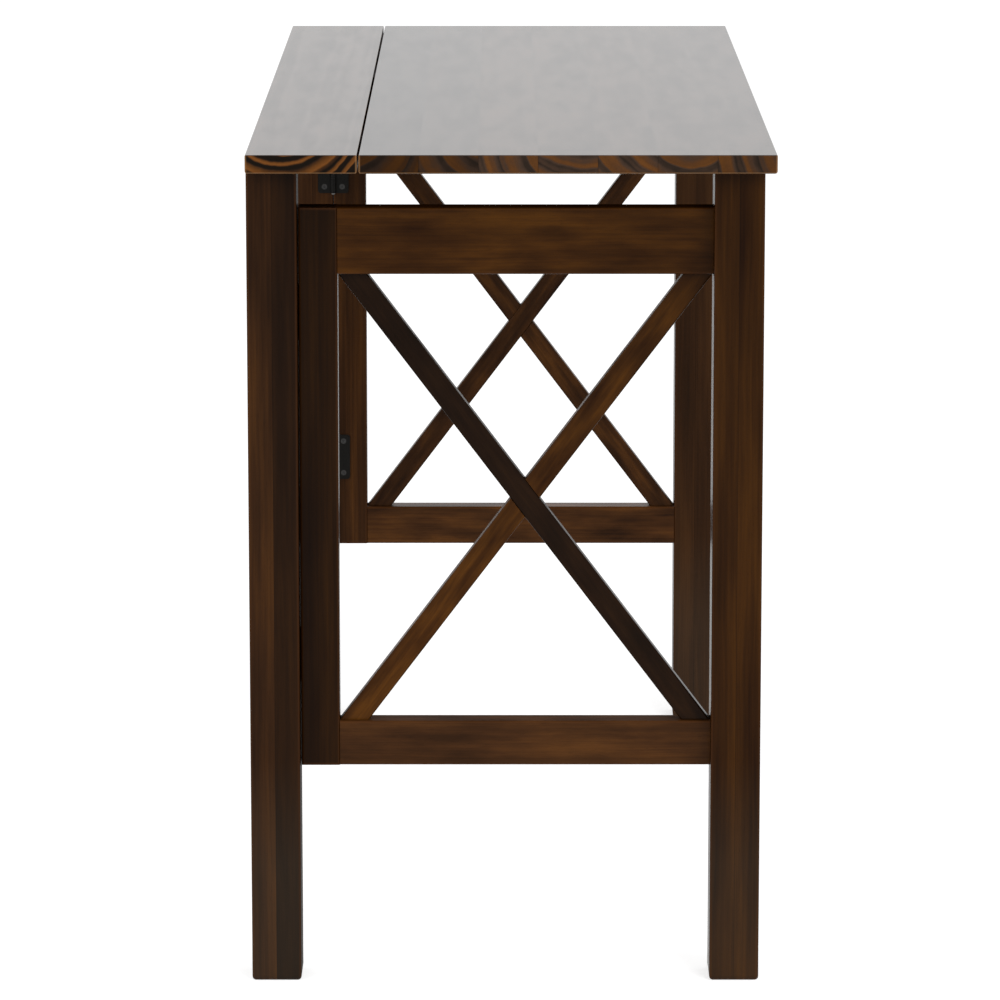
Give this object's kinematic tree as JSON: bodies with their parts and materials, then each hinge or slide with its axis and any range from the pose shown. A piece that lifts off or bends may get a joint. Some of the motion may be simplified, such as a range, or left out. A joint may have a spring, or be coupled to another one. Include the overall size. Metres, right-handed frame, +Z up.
{
  "type": "folding desk",
  "caption": "Wooden desk with X-braced side frames that swing in on butt hinges, a fixed rear strip and a hinged top panel.",
  "frame": {"origin": "on the floor, under the middle of the top", "axes": "+Z up, X along the desk, the front edge faces -Y"},
  "size_m": [1.067, 0.472, 0.762],
  "materials": {
    "frame_wood": "dark walnut stain under satin lacquer",
    "top_wood": "dark walnut stain under gloss lacquer",
    "dowel_wood": "plain beech",
    "black_hinge": "black painted steel",
    "pin_steel": "worn steel"
  },
  "bodies": {
    "rear_frame": {"rear_leg_left": "frame_wood", "rear_leg_right": "frame_wood", "rear_apron": "frame_wood", "rear_stretcher": "frame_wood", "top_strip": "top_wood", "strip_dowels": "dowel_wood", "leg_leaf_left_low": "black_hinge", "leg_leaf_left_high": "black_hinge", "leg_leaf_right_low": "black_hinge", "leg_leaf_right_high": "black_hinge", "side_pin_left_low": "pin_steel", "side_pin_left_high": "pin_steel", "side_pin_right_low": "pin_steel", "side_pin_right_high": "pin_steel", "leg_leaf_screws": "black_hinge", "strip_leaf_left": "black_hinge", "strip_leaf_middle": "black_hinge", "strip_leaf_right": "black_hinge", "seam_pin_left": "pin_steel", "seam_pin_middle": "pin_steel", "seam_pin_right": "pin_steel", "strip_leaf_screws": "black_hinge"},
    "left_frame": {"left_stile": "frame_wood", "left_front_leg": "frame_wood", "left_top_rail": "frame_wood", "left_low_rail": "frame_wood", "left_brace_through": "frame_wood", "left_brace_lapped": "frame_wood", "left_brace_dowels": "dowel_wood", "left_stile_leaf_low": "black_hinge", "left_stile_leaf_high": "black_hinge", "left_stile_leaf_screws": "black_hinge"},
    "right_frame": {"right_stile": "frame_wood", "right_front_leg": "frame_wood", "right_top_rail": "frame_wood", "right_low_rail": "frame_wood", "right_brace_through": "frame_wood", "right_brace_lapped": "frame_wood", "right_brace_dowels": "dowel_wood", "right_stile_leaf_low": "black_hinge", "right_stile_leaf_high": "black_hinge", "right_stile_leaf_screws": "black_hinge"},
    "panel": {"top_panel": "top_wood", "panel_leaf_left": "black_hinge", "panel_leaf_middle": "black_hinge", "panel_leaf_right": "black_hinge", "panel_leaf_screws": "black_hinge"}
  },
  "joints": [
    {"name": "left_frame_swing", "type": "hinge", "parent": "rear_frame", "child": "left_frame", "pos_m": [-0.471, 0.1907, 0.295], "axis": [0, 0, 1], "range_deg": [0, 90]},
    {"name": "right_frame_swing", "type": "hinge", "parent": "rear_frame", "child": "right_frame", "pos_m": [0.471, 0.1907, 0.295], "axis": [0, 0, -1], "range_deg": [0, 90]},
    {"name": "panel_lift", "type": "hinge", "parent": "rear_frame", "child": "panel", "pos_m": [0, 0.13595, 0.742], "axis": [-1, 0, 0], "range_deg": [0, 4]}
  ]
}
